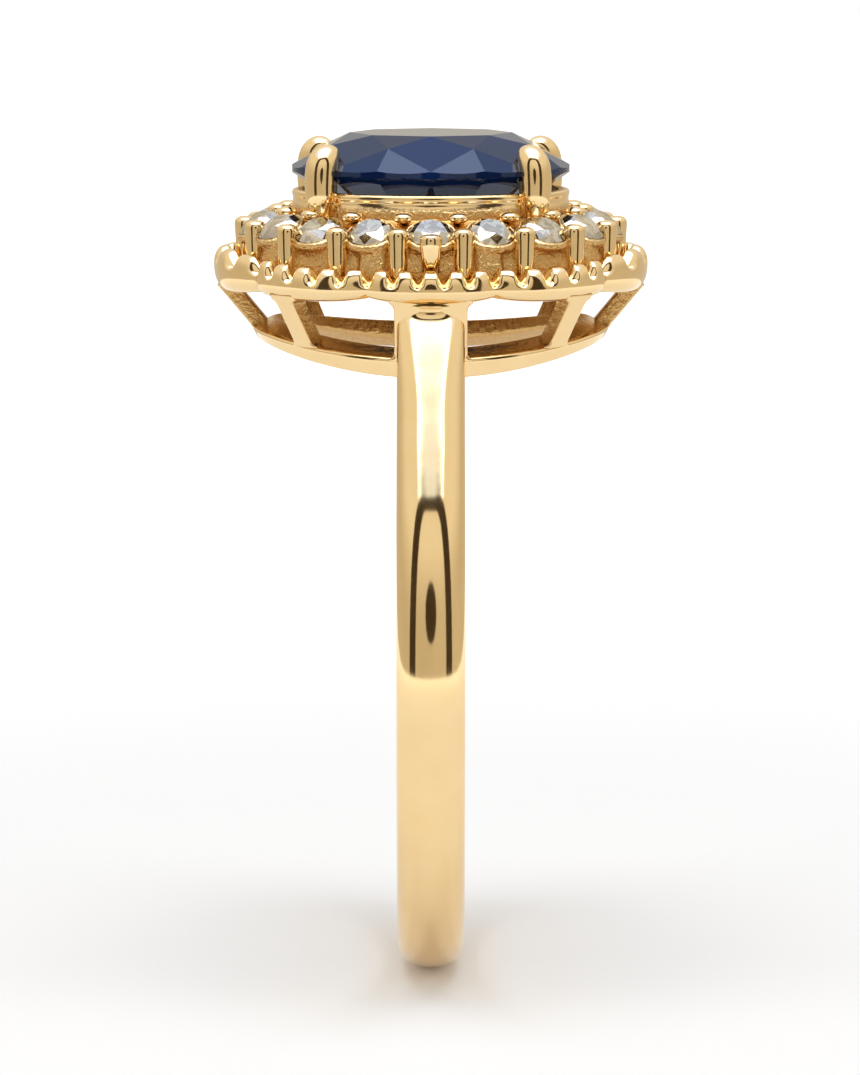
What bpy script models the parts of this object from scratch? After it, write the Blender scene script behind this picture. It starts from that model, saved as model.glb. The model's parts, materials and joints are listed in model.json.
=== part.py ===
"""Halo engagement ring: oval centre stone, 18 small diamonds, scalloped border, open gallery."""
import bmesh
import bpy
import numpy as np
from mathutils import Matrix, Vector

MM = 0.001

# ---- driving dimensions, in millimetres, +Z up, X along the finger ----
FINGER_DIAMETER = 17.3
BAND_THICKNESS = 1.55
BAND_WIDTH = 2.04
BAND_CROWN = 0.70          # depth of the rounded outside, half an ellipse
BAND_STEPS = 60
BAND_SHARES = (1.0, 0.86, 0.56, 0.20)       # of the half width, where the domed outside has its edges
BORE_EDGE = ((0.80, 0.0), (0.97, 0.08))     # eased edge of the bore: share of half width, of thickness
SHOULDER_TIP_Y = 5.5       # where the outside meets the border
SHOULDER_HEEL_Y = 4.5      # where the inside meets the rail
SHOULDER_STEPS = 7
OVAL_STEPS = 64            # round the rail and the collar

STONE_LENGTH = 8.5
STONE_WIDTH = 6.6
STONE_GIRDLE_Z = 24.82
STONE_CROWN = 0.98
STONE_GIRDLE = 0.24
STONE_PAVILION = 2.75
STONE_TABLE = 0.585
LOWER_FACET_REACH = 0.30   # of the radius, where the lower halves meet the mains

MELEE_COUNT = 18
MELEE_DIAMETER = 1.40
MELEE_TILT = 28.0
MELEE_Z = 23.08
MELEE_RING = (5.3, 4.4)
SEAT_PLATE = (-0.95, 0.60, 0.45)   # inner edge, outer edge, thickness at the inner edge
HALO_WALL = (0.10, 0.42)           # inside and outside of the wall, measured outward from the stones' ring
HALO_WALL_FOOT_Z = 21.35
HALO_WALL_TOP_Z = (22.43, 22.28)   # where it meets the plate, inside and outside
SEAT_SINK = 0.06                   # the plate's top lies this far below the stones' girdles
SEAT_HOLE_RADIUS = 0.36
SEAT_HOLE_Z = (-1.5, -0.42)        # heights along each stone's axis, from its girdle
SEAT_BEARING_Z = (-0.09, 0.03)
SEAT_MOUTH = (0.62, 0.29)          # share of the seat's radius, and height, where the cutter ends
# post paths are (offset outward, height), with one radius for each point
PRONG_PATH = [(0.42, 22.24), (0.46, 22.68), (0.50, 23.03), (0.48, 23.21), (0.46, 23.29)]
PRONG_RADII = [0.24, 0.25, 0.28, 0.21, 0.09]
END_PRONG_PATH = [(0.40, 22.26), (0.62, 22.48), (0.76, 22.78), (0.77, 22.96), (0.75, 23.04)]
END_PRONG_RADII = [0.24, 0.26, 0.27, 0.20, 0.09]
BEAD_PATH = [(-0.62, 23.13), (-0.62, 23.40), (-0.62, 23.52), (-0.62, 23.57)]
BEAD_RADII = [0.20, 0.20, 0.15, 0.06]

LOBE_COUNT = 8
BUMPS_PER_LOBE = 5
BORDER_FOOT_Z = 21.02
BORDER_VALLEY_Z = 21.62
BORDER_BUMP_Z = 22.02
BORDER_END_RISE = 0.34      # the two end lobes stand higher
BORDER_INSIDE = 0.47        # measured outward from the stones' ring, like the next four
BORDER_GROOVE = 1.05
LOBE_BULGE = 0.30
BUMP_BULGE = 0.05
BORDER_INSIDE_MIN = 0.52    # least reach of the back of a bump
BORDER_BACK = (0.16, 0.28, 0.52)   # foot, crest and back of a bump, inward from its reach
FOOT_EASE = (0.03, 0.16)           # rise of the underside's inner and outer edges
FLANK_DROP = 0.30                  # outer flank's upper edge, below the crest
FLANK_LEAST = 0.25                 # and at least this far above the foot
BACK_DROP = 0.25
SHELF = (0.02, 0.10, 0.08)         # shelf below the valleys, its upper limit above it, its inner edge below it
# grooves between the lobes: distance along the border's length, and its half length there
END_GROOVE = (5.35, 6.35)
MIDDLE_GROOVE = (1.97, 6.4)

RAIL = (5.1, 4.5)
RAIL_THICKNESS = 0.5
RAIL_END = (19.87, 19.50)      # top and underside at the two ends
RAIL_ARCH = (0.57, 0.84)       # how far each is lower at the front and back
RAIL_OUTSIDE = (0.22, 0.42)    # outward at the underside and the top
RAIL_EASE = 0.1
RAIL_SHARES = (0.0, 0.0, 0.2, 0.85, 1.0, 1.0)   # of its height, for its six edges
STRUT_THICKNESS = 0.44
STRUT_WIDTH = 0.74
SHOULDER_STRUT_WIDTH = 2.26
STRUT_HEAD_OUT = 0.92          # outward from the stones' ring
SHOULDER_STRUT_HEAD_OUT = 0.80
STRUT_FOOT_OUT = 0.18          # outward from the rail
STRUT_EASE = 0.10
STRUT_SPREAD = ((0.0, 1.12), (0.2, 1.0), (0.8, 1.0), (1.0, 1.12))   # share of its length, of its width

CLAW_RADIUS = 0.44
CLAW_FOOT = (0.04, 23.64)      # outward from the girdle, height
CLAW_PATH = [(0.05, 23.95), (0.05, 24.40), (0.02, 24.80), (-0.05, 25.04), (-0.20, 25.18),
             (-0.38, 25.22), (-0.50, 25.19)]
CLAW_SHAPE = [0.80, 0.95, 1.0, 1.0, 0.96, 0.84, 0.58, 0.25]
CLAW_SIDES = 12
CLAW_SPOTS = {
    "claw_front_left": (-3.37, -1),
    "claw_front_right": (3.14, -1),
    "claw_back_left": (-3.52, 1),
    "claw_back_right": (3.46, 1),
}

COLLAR_OFFSETS = [0.04, 0.0, -0.02, -0.10, -0.30, -0.40, -0.62]   # outward from the girdle
COLLAR_HEIGHTS = [23.12, 23.62, 24.00, 24.08, 24.08, 23.96, 23.12]

JOINT = 0.05          # solder line between two pieces
SEAT_CLEARANCE = 0.025
CLAW_CLEARANCE = 0.03
NOTCH_CLEARANCE = JOINT * 0.7

# ---- lengths worked out from those ----
INNER_RADIUS = FINGER_DIAMETER / 2
OUTER_RADIUS = INNER_RADIUS + BAND_THICKNESS
CENTRE_Z = OUTER_RADIUS * np.cos(np.pi / BAND_STEPS)
STONE = (STONE_LENGTH / 2, STONE_WIDTH / 2)

GOLD = ((0.86, 0.60, 0.27, 1.0), 0.14, 1.0)
SAPPHIRE = ((0.01, 0.02, 0.10, 1.0), 0.05, 0.0)
DIAMOND = ((0.90, 0.92, 0.95, 1.0), 0.03, 0.0)


def clear_scene():
    for thing in list(bpy.data.objects):
        bpy.data.objects.remove(thing, do_unlink=True)


def make_material(name, look):
    colour, roughness, metallic = look
    material = bpy.data.materials.new(name)
    material.use_nodes = True
    shader = material.node_tree.nodes["Principled BSDF"]
    shader.inputs["Base Color"].default_value = colour
    shader.inputs["Roughness"].default_value = roughness
    shader.inputs["Metallic"].default_value = metallic
    return material


def make_object(name, mesh, look, smooth_angle=0.0):
    """One object with its own material; round pieces are smooth up to smooth_angle degrees."""
    thing = bpy.data.objects.new(name, mesh)
    bpy.context.scene.collection.objects.link(thing)
    if look is None:
        thing.hide_render = True
        thing.display_type = "WIRE"
        return thing
    mesh.materials.clear()
    mesh.materials.append(make_material(name, look))
    if smooth_angle > 0:
        mesh.shade_smooth()
        mesh.set_sharp_from_angle(angle=np.radians(smooth_angle))
    return thing


def mesh_from(name, points, faces):
    """A mesh in metres from millimetre points, with its faces turned outward."""
    mesh = bpy.data.meshes.new(name)
    mesh.from_pydata([tuple(point) for point in np.asarray(points) * MM], [], faces)
    shell = bmesh.new()
    shell.from_mesh(mesh)
    bmesh.ops.recalc_face_normals(shell, faces=shell.faces)
    shell.to_mesh(mesh)
    shell.free()
    return mesh


def tube_faces(stations, around, looped, first=0):
    """Quads between neighbouring sections, with flat ends unless the tube closes on itself."""
    faces = []
    for i in range(stations if looped else stations - 1):
        here = first + i * around
        after = first + ((i + 1) % stations) * around
        for j in range(around):
            k = (j + 1) % around
            faces.append((here + j, here + k, after + k, after + j))
    if not looped:
        faces.append(tuple(range(first, first + around)))
        last = first + (stations - 1) * around
        faces.append(tuple(range(last, last + around)))
    return faces


def sweep(name, sections, looped):
    """sections is (stations, points round the section, 3)."""
    stations, around, _ = sections.shape
    return mesh_from(name, sections.reshape(-1, 3), tube_faces(stations, around, looped))


def join_tubes(name, tubes):
    """Several separate capped tubes in one mesh."""
    points = []
    faces = []
    for sections in tubes:
        stations, around, _ = sections.shape
        faces += tube_faces(stations, around, False, len(points))
        points += list(sections.reshape(-1, 3))
    return mesh_from(name, points, faces)


def oval_point(axes, t, offset=0.0):
    """The point at parameter t on an oval, moved outward along its normal."""
    a, b = axes
    normal = np.stack([b * np.cos(t), a * np.sin(t)], axis=-1)
    normal = normal / np.linalg.norm(normal, axis=-1, keepdims=True)
    base = np.stack([a * np.cos(t), b * np.sin(t)], axis=-1)
    return base + normal * np.asarray(offset)[..., None]


def oval_sweep(axes, angles, offsets, heights):
    """Sections round an oval: offsets and heights are (stations, points)."""
    t = np.repeat(angles[:, None], offsets.shape[1], axis=1)
    flat = oval_point(axes, t, offsets)
    return np.concatenate([flat, heights[..., None]], axis=-1)


def cut(thing, tool, operation):
    step = thing.modifiers.new(operation.lower(), "BOOLEAN")
    step.operation = operation
    step.solver = "EXACT"
    step.object = tool


# ---- shank ----
def shank_edges():
    """Inner and outer edge of the band in the YZ plane, from one shoulder's end to the other."""
    tip = np.array([SHOULDER_TIP_Y, BORDER_FOOT_Z - JOINT])
    heel = np.array([SHOULDER_HEEL_Y, CENTRE_Z + np.sqrt(INNER_RADIUS ** 2 - SHOULDER_HEEL_Y ** 2)])
    reach = tip - np.array([0.0, CENTRE_Z])
    distance = np.linalg.norm(reach)
    tangent = np.arctan2(reach[1], reach[0]) - np.arccos(OUTER_RADIUS / distance)
    step = 2 * np.pi / BAND_STEPS
    first = -np.pi / 2 + step / 2
    arc = np.arange(first, tangent, step)
    arc = np.append(arc, tangent) if tangent - arc[-1] > step * 0.3 else np.append(arc[:-1], tangent)
    outer = np.stack([np.cos(arc), np.sin(arc)], axis=1) * OUTER_RADIUS + [0, CENTRE_Z]
    inner = np.stack([np.cos(arc), np.sin(arc)], axis=1) * INNER_RADIUS + [0, CENTRE_Z]
    rise = np.linspace(0, 1, SHOULDER_STEPS)[1:, None]
    heel_angle = np.arctan2(heel[1] - CENTRE_Z, heel[0])
    climb = tangent + (heel_angle - tangent) * rise[:, 0]
    shoulder_out = outer[-1] + (tip - outer[-1]) * rise
    shoulder_in = np.stack([np.cos(climb), np.sin(climb)], axis=1) * INNER_RADIUS + [0, CENTRE_Z]
    outer = np.concatenate([outer, shoulder_out])
    inner = np.concatenate([inner, shoulder_in])
    mirror = np.array([-1, 1])
    outer = np.concatenate([outer[::-1] * mirror, outer])
    inner = np.concatenate([inner[::-1] * mirror, inner])
    return inner, outer


def build_shank():
    """Court-shaped band: flat bore with eased edges, domed outside, rising to the head."""
    inner, outer = shank_edges()
    half = BAND_WIDTH / 2
    crown = BAND_CROWN / BAND_THICKNESS
    shares = np.array(BAND_SHARES)
    rounded = 1 - crown * (1 - np.sqrt(1 - shares ** 2))
    rounded[-1] = 1.0
    edge, edge_level = np.array(BORE_EDGE).T
    across = np.concatenate([-edge, -shares, shares[::-1], edge[::-1]]) * half
    level = np.concatenate([edge_level, rounded, rounded[::-1], edge_level[::-1]])
    sections = np.zeros((len(inner), len(across), 3))
    sections[..., 0] = across
    sections[..., 1:] = inner[:, None] + (outer - inner)[:, None] * level[None, :, None]
    make_object("shank", sweep("shank", sections, False), GOLD, 40)


# ---- gallery ----
def rail_levels(x, y):
    """Top and underside of the rail beside a point; the rail arches over the finger."""
    drop = np.sin(np.arctan2(y / RAIL[1], x / RAIL[0])) ** 2
    return RAIL_END[0] - RAIL_ARCH[0] * drop, RAIL_END[1] - RAIL_ARCH[1] * drop


def build_rail():
    angles = np.linspace(0, 2 * np.pi, OVAL_STEPS, endpoint=False)
    top, foot = rail_levels(RAIL[0] * np.cos(angles), RAIL[1] * np.sin(angles))
    outer_foot, outer_top = RAIL_OUTSIDE
    offsets = np.array([outer_foot - RAIL_THICKNESS, outer_foot - RAIL_EASE, outer_foot,
                        outer_top, outer_top - RAIL_EASE, outer_top - RAIL_THICKNESS])
    shares = np.array(RAIL_SHARES)
    heights = foot[:, None] + (top - foot)[:, None] * shares
    sections = oval_sweep(RAIL, angles, np.tile(offsets, (len(angles), 1)), heights)
    make_object("lower_rail", sweep("lower_rail", sections, True), GOLD, 40)


def lobe_joints():
    """Parameter angles of the grooves between the eight lobes, from the right-hand end lobe."""
    side = np.arccos(END_GROOVE[0] / END_GROOVE[1])
    front = np.arccos(MIDDLE_GROOVE[0] / MIDDLE_GROOVE[1])
    quarter = np.array([side, front])
    return np.concatenate([-quarter[:1], quarter, np.pi - quarter[::-1],
                           np.pi + quarter, 2 * np.pi - quarter[::-1][:1]])


STRUT_NAMES = ["strut_right", "strut_back_right", "strut_back", "strut_back_left",
               "strut_left", "strut_front_left", "strut_front", "strut_front_right"]


def build_struts():
    """Tapered bars at even angles, from the underside of the border down to the rail."""
    for name, t in zip(STRUT_NAMES, np.arange(8) * np.pi / 4):
        at_shank = name in ("strut_front", "strut_back")
        width = SHOULDER_STRUT_WIDTH if at_shank else STRUT_WIDTH
        head = oval_point(MELEE_RING, np.array(t), SHOULDER_STRUT_HEAD_OUT if at_shank else STRUT_HEAD_OUT)
        foot = oval_point(RAIL, np.array(t), STRUT_FOOT_OUT)
        rail_top, _ = rail_levels(*foot)
        along = np.array([-np.sin(t), np.cos(t)])
        outward = np.array([np.cos(t), np.sin(t)])
        low = np.append(foot, rail_top + JOINT)
        high = np.append(head, BORDER_FOOT_Z - JOINT)
        sections = []
        for share, spread in STRUT_SPREAD:
            middle = low + (high - low) * share
            w = width / 2 * (1.0 if at_shank else spread)
            d = STRUT_THICKNESS / 2
            inw, ind = w - STRUT_EASE, d - STRUT_EASE
            corners = [(-w, -ind), (-inw, -d), (inw, -d), (w, -ind), (w, ind), (inw, d), (-inw, d), (-w, ind)]
            ring = []
            for s, n in corners:
                flat = middle[:2] + along * s + outward * n
                height = middle[2]
                if share == 0.0:
                    height = rail_levels(*flat)[0] + JOINT
                ring.append((flat[0], flat[1], height))
            sections.append(ring)
        make_object(name, sweep(name, np.array(sections), False), GOLD, 40)


def build_border():
    """Band of eight lobes, each with a row of five rounded bumps along its top."""
    joints = lobe_joints()
    ends = np.append(joints[1:], joints[0] + 2 * np.pi)
    steps = 5 * BUMPS_PER_LOBE
    share = np.arange(steps) / steps
    angles = (joints[:, None] + (ends - joints)[:, None] * share).ravel()
    lobe = np.tile(share * 2 - 1, LOBE_COUNT)
    bump = np.tile((share * BUMPS_PER_LOBE % 1) * 2 - 1, LOBE_COUNT)
    dome = np.clip(1 - np.abs(bump) ** 3, 0, 1) ** 0.8
    reach = BORDER_GROOVE + LOBE_BULGE * (1 - np.abs(lobe) ** 2.5) + BUMP_BULGE * dome
    crest = BORDER_VALLEY_Z + (BORDER_BUMP_Z - BORDER_VALLEY_Z) * dome + BORDER_END_RISE * np.cos(angles) ** 4
    inner = np.full_like(angles, BORDER_INSIDE)
    foot = np.full_like(angles, BORDER_FOOT_Z)
    shelf = np.full_like(angles, BORDER_VALLEY_Z - SHELF[0])
    foot_in, crest_in, back_in = BORDER_BACK
    back = np.maximum(reach - back_in, BORDER_INSIDE_MIN)
    flank = np.maximum(crest - FLANK_DROP, foot + FLANK_LEAST)
    offsets = np.stack([inner, reach - foot_in, reach, reach, reach - crest_in, back, inner], axis=1)
    heights = np.stack([foot + FOOT_EASE[0], foot, foot + FOOT_EASE[1], flank, crest,
                        np.minimum(crest - BACK_DROP, shelf + SHELF[1]), shelf - SHELF[2]], axis=1)
    sections = oval_sweep(MELEE_RING, angles, offsets, heights)
    make_object("scalloped_border", sweep("scalloped_border", sections, True), GOLD, 50)


# ---- stones ----
def brilliant(name, a, b, crown, girdle, pavilion, table, grow=0.0):
    """Brilliant cut: table, 8 stars, 8 kites, 16 upper facets, girdle, 16 lower facets, 8 mains."""
    star = 0.5 * (1 + table)
    turn = np.radians(22.5)
    low = LOWER_FACET_REACH
    full = np.arange(8) * 2 * turn
    half = full + turn
    star_z = crown * (1 - star * np.cos(turn)) / (1 - table)
    low_z = -girdle - pavilion * (1 - low * np.cos(turn))
    rings = [(full, table, crown + grow), (half, star, star_z + grow),
             (np.sort(np.append(full, half)), 1.0, grow / 2),
             (np.sort(np.append(full, half)), 1.0, -girdle - grow / 2),
             (half, low, low_z - grow), (np.array([0.0]), 0.0, -girdle - pavilion - grow)]
    points = []
    starts = []
    for angles, radius, z in rings:
        starts.append(len(points))
        for t in angles:
            points.append(((a + grow) * radius * np.cos(t), (b + grow) * radius * np.sin(t), z))
    table_at, star_at, top_at, foot_at, low_at, culet = starts
    faces = [tuple(table_at + k for k in range(8))]
    for k in range(8):
        n = (k + 1) % 8
        before = (k - 1) % 8
        g = 2 * k
        faces.append((table_at + k, star_at + k, table_at + n))
        faces.append((table_at + k, star_at + before, top_at + g, star_at + k))
        faces.append((star_at + k, top_at + g, top_at + g + 1))
        faces.append((star_at + k, top_at + g + 1, top_at + (g + 2) % 16))
        faces.append((foot_at + g, low_at + k, foot_at + g + 1))
        faces.append((foot_at + g + 1, low_at + k, foot_at + (g + 2) % 16))
        faces.append((foot_at + g, low_at + before, culet, low_at + k))
    for g in range(16):
        n = (g + 1) % 16
        faces.append((top_at + g, foot_at + g, foot_at + n, top_at + n))
    return mesh_from(name, points, faces)


def build_centre_stone():
    mesh = brilliant("centre_sapphire", *STONE, STONE_CROWN, STONE_GIRDLE, STONE_PAVILION, STONE_TABLE)
    stone = make_object("centre_sapphire", mesh, SAPPHIRE)
    stone.location = (0, 0, STONE_GIRDLE_Z * MM)


def melee_angles():
    return np.arange(MELEE_COUNT) * 2 * np.pi / MELEE_COUNT + np.pi / 2


def melee_place(t):
    """Where a small stone sits: on the oval, leaning outward."""
    normal = oval_point(MELEE_RING, np.array(t), 1.0) - oval_point(MELEE_RING, np.array(t))
    heading = np.arctan2(normal[1], normal[0])
    x, y = oval_point(MELEE_RING, np.array(t))
    turn = Matrix.Rotation(heading, 4, "Z") @ Matrix.Rotation(np.radians(MELEE_TILT), 4, "Y")
    return Matrix.Translation(Vector((x, y, MELEE_Z)) * MM) @ turn


def build_melee():
    radius = MELEE_DIAMETER / 2
    for k, t in enumerate(melee_angles()):
        name = f"halo_diamond_{k + 1:02d}"
        mesh = brilliant(name, radius, radius, 0.22, 0.05, 0.60, 0.57)
        stone = make_object(name, mesh, DIAMOND)
        stone.matrix_world = melee_place(t)


# ---- halo setting ----
def seat_cutters():
    """One turned cutter for each small stone: crown clearance, bearing and drilled hole."""
    sides = 8
    radius = (MELEE_DIAMETER / 2 + SEAT_CLEARANCE) / np.cos(np.pi / sides)
    hole = SEAT_HOLE_RADIUS
    profile = np.array([(hole, SEAT_HOLE_Z[0]), (hole, SEAT_HOLE_Z[1]), (radius, SEAT_BEARING_Z[0]),
                        (radius, SEAT_BEARING_Z[1]), (radius * SEAT_MOUTH[0], SEAT_MOUTH[1])])
    around = (np.arange(sides) + 0.5) * 2 * np.pi / sides
    local = np.zeros((len(profile), sides, 3))
    local[..., 0] = profile[:, :1] * np.cos(around)
    local[..., 1] = profile[:, :1] * np.sin(around)
    local[..., 2] = profile[:, 1:]
    tubes = []
    for t in melee_angles():
        place = np.array(melee_place(t))
        tubes.append(local @ place[:3, :3].T + place[:3, 3] / MM)
    return make_object("seat_cutters", join_tubes("seat_cutters", tubes), None)


def post(t, path, radii, sides=7):
    """A round post whose path is given as (offset outward, height) at one angle of the halo."""
    foot = oval_point(MELEE_RING, np.array(t))
    outward = oval_point(MELEE_RING, np.array(t), 1.0) - foot
    return round_bar(foot, outward, path, radii, sides)


def round_bar(foot, outward, path, radii, sides):
    path = np.asarray(path, dtype=float)
    along = np.gradient(path, axis=0)
    along = along / np.linalg.norm(along, axis=1, keepdims=True)
    side = np.array([-outward[1], outward[0]])
    around = (np.arange(sides) + 0.5) * 2 * np.pi / sides
    sections = np.zeros((len(path), sides, 3))
    for i, (offset, height) in enumerate(path):
        out = np.cos(around) * radii[i]
        wide = np.sin(around) * radii[i]
        flat = foot + outward * (offset + along[i, 1] * out)[:, None] + side * wide[:, None]
        sections[i, :, :2] = flat
        sections[i, :, 2] = height - along[i, 0] * out
    return sections


def halo_posts():
    """Outer prongs between the stones, one more before the first and tenth stone, inner beads."""
    tubes = []
    half_step = np.pi / MELEE_COUNT
    for t in melee_angles():
        tubes.append(post(t + half_step, PRONG_PATH, PRONG_RADII))
        tubes.append(post(t + half_step, BEAD_PATH, BEAD_RADII, 5))
    for t in (np.pi / 2, 3 * np.pi / 2):
        tubes.append(post(t, END_PRONG_PATH, END_PRONG_RADII))
    return make_object("halo_posts", join_tubes("halo_posts", tubes), None)


def build_halo_setting():
    """Tilted seat plate and the wall below it, one casting with its prongs and beads."""
    angles = np.linspace(0, 2 * np.pi, 3 * MELEE_COUNT, endpoint=False)
    slope = np.tan(np.radians(MELEE_TILT))
    top_at_stone = MELEE_Z - SEAT_SINK
    inner, outer, thickness = SEAT_PLATE
    wall_in, wall_out = HALO_WALL
    join_in, join_out = HALO_WALL_TOP_Z
    top_in = top_at_stone - inner * slope
    offsets = np.array([inner, outer, wall_out, wall_out, wall_in, wall_in, inner])
    heights = np.array([top_in, top_at_stone - outer * slope, join_out, HALO_WALL_FOOT_Z,
                        HALO_WALL_FOOT_Z, join_in, top_in - thickness])
    shape = (len(angles), 1)
    sections = oval_sweep(MELEE_RING, angles, np.tile(offsets, shape), np.tile(heights, shape))
    setting = make_object("halo_setting", sweep("halo_setting", sections, True), GOLD, 35)
    cut(setting, halo_posts(), "UNION")
    cut(setting, seat_cutters(), "DIFFERENCE")


# ---- centre setting ----
def claw_tube(x, side, grow=0.0):
    """A claw rises beside the girdle and bends inward over the crown."""
    a, b = STONE
    t = side * np.arccos(x / a)
    foot = oval_point(STONE, np.array(t))
    outward = oval_point(STONE, np.array(t), 1.0) - foot
    path = [(CLAW_FOOT[0], CLAW_FOOT[1] - grow)] + CLAW_PATH
    radii = np.array(CLAW_SHAPE) * CLAW_RADIUS + grow
    return round_bar(foot, outward, path, radii, CLAW_SIDES)


def build_claws():
    grown = brilliant("stone_clearance", *STONE, STONE_CROWN, STONE_GIRDLE, STONE_PAVILION, STONE_TABLE,
                      CLAW_CLEARANCE)
    clearance = make_object("stone_clearance", grown, None)
    clearance.location = (0, 0, STONE_GIRDLE_Z * MM)
    for name, (x, side) in CLAW_SPOTS.items():
        claw = make_object(name, join_tubes(name, [claw_tube(x, side)]), GOLD, 50)
        cut(claw, clearance, "DIFFERENCE")


def build_collar():
    """Oval band that the stone's underside rests on, notched for the four claws."""
    angles = np.linspace(0, 2 * np.pi, OVAL_STEPS, endpoint=False)
    shape = (len(angles), 1)
    sections = oval_sweep(STONE, angles, np.tile(COLLAR_OFFSETS, shape), np.tile(COLLAR_HEIGHTS, shape))
    collar = make_object("centre_collar", sweep("centre_collar", sections, True), GOLD, 40)
    notches = [claw_tube(x, side, NOTCH_CLEARANCE) for x, side in CLAW_SPOTS.values()]
    cut(collar, make_object("claw_notches", join_tubes("claw_notches", notches), None), "DIFFERENCE")


clear_scene()
build_shank()
build_rail()
build_struts()
build_border()
build_halo_setting()
build_collar()
build_claws()
build_centre_stone()
build_melee()
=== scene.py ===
# Halo engagement ring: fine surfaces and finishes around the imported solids.
import json
import bpy
import numpy as np
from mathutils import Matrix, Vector

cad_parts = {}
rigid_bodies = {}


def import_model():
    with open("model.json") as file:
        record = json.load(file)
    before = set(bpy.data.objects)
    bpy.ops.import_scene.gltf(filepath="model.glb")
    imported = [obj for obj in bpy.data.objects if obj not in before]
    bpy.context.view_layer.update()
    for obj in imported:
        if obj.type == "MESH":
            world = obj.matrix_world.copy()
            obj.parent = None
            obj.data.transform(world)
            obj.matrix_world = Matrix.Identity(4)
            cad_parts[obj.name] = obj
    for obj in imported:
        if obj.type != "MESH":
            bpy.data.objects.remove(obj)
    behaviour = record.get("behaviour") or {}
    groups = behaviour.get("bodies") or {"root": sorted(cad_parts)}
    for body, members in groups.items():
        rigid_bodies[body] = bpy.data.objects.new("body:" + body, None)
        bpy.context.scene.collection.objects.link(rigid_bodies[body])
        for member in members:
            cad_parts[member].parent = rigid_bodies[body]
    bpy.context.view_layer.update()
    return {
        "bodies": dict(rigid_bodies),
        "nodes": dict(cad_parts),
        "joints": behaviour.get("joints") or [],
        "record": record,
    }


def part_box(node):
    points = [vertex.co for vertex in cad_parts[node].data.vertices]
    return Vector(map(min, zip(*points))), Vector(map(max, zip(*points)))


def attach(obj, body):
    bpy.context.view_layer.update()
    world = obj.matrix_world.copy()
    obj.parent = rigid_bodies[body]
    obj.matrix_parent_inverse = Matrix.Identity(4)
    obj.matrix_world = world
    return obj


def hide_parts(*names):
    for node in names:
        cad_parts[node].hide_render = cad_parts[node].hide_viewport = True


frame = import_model()
mm = 0.001
turn = 2 * np.pi


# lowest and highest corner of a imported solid, in millimetres
def boxOf(name):
    low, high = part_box(name)
    return np.array(low) / mm, np.array(high) / mm


# ---------- surfaces ----------

# quads over closed rings of points (rows, columns, 3), the last row joined to the first where
# asked; an end that stays open is closed by a fan of triangles to its middle point
def gridSurface(name, points, rowsMeet):
    rows, columns, _ = points.shape
    index = np.arange(rows * columns).reshape(rows, columns)
    here = index if rowsMeet else index[:-1]
    after = np.roll(index, -1, axis=0) if rowsMeet else index[1:]
    quads = np.stack([here, np.roll(here, -1, axis=1), np.roll(after, -1, axis=1), after], axis=-1)
    corners = points.reshape(-1, 3)
    faces = quads.reshape(-1, 4).tolist()
    if not rowsMeet:
        for row, flip in ((0, True), (rows - 1, False)):
            middle = len(corners)
            corners = np.vstack([corners, points[row].mean(axis=0)])
            ring, following = index[row], np.roll(index[row], -1)
            fan = [following, ring] if flip else [ring, following]
            faces += np.stack([*fan, np.full(columns, middle)], axis=-1).tolist()
    return solid(name, corners, faces)


# a mesh in metres from millimetre corners; its signed volume says whether its faces point out
def solid(name, corners, faces, smooth=True):
    corners = np.asarray(corners, dtype=float)
    volume = 0.0
    for size in sorted({len(face) for face in faces}):
        ring = corners[np.array([face for face in faces if len(face) == size])]
        for k in range(1, size - 1):
            volume += np.einsum("ij,ij->", ring[:, 0], np.cross(ring[:, k], ring[:, k + 1]))
    if volume < 0:
        faces = [face[::-1] for face in faces]
    mesh = bpy.data.meshes.new(name)
    mesh.from_pydata((corners * mm).tolist(), [], faces)
    mesh.validate()
    mesh.polygons.foreach_set("use_smooth", np.full(len(mesh.polygons), smooth))
    piece = bpy.data.objects.new(name, mesh)
    bpy.context.scene.collection.objects.link(piece)
    return piece


# several grids in one mesh, each given as a (rows, columns, 3) tube with closed ends
def tubesSurface(name, tubes):
    corners, faces = [], []
    start = 0
    for points in tubes:
        rows, columns, _ = points.shape
        index = start + np.arange(rows * columns).reshape(rows, columns)
        quads = np.stack([index[:-1], np.roll(index, -1, axis=1)[:-1],
                          np.roll(index, -1, axis=1)[1:], index[1:]], axis=-1)
        faces += quads.reshape(-1, 4).tolist()
        first, last = start + rows * columns, start + rows * columns + 1
        faces += np.stack([np.roll(index[0], -1), index[0], np.full(columns, first)], axis=-1).tolist()
        faces += np.stack([index[-1], np.roll(index[-1], -1), np.full(columns, last)], axis=-1).tolist()
        corners += [points.reshape(-1, 3), points[:1].mean(axis=1), points[-1:].mean(axis=1)]
        start = last + 1
    return solid(name, np.vstack(corners), faces)


# a point on an oval at parameter t, moved out along the normal: (a cos t, b sin t) + offset n
def ovalPoint(axes, t, offset=0.0):
    a, b = axes
    normal = np.stack([b * np.cos(t), a * np.sin(t)], axis=-1)
    normal = normal / np.linalg.norm(normal, axis=-1, keepdims=True)
    return np.stack([a * np.cos(t), b * np.sin(t)], axis=-1) + normal * np.asarray(offset)[..., None]


# sections carried round an oval: offset outward and height for each (station, section point)
def ovalSweep(name, axes, angles, offsets, heights):
    t = np.broadcast_to(angles[:, None], offsets.shape)
    points = np.concatenate([ovalPoint(axes, t, offsets), heights[..., None]], axis=-1)
    return gridSurface(name, points, True)


# squared-off circle: cos and sin each raised to 2/n, keeping their signs
def squircle(angle, n):
    c, s = np.cos(angle), np.sin(angle)
    return np.sign(c) * np.abs(c) ** (2 / n), np.sign(s) * np.abs(s) ** (2 / n)


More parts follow.
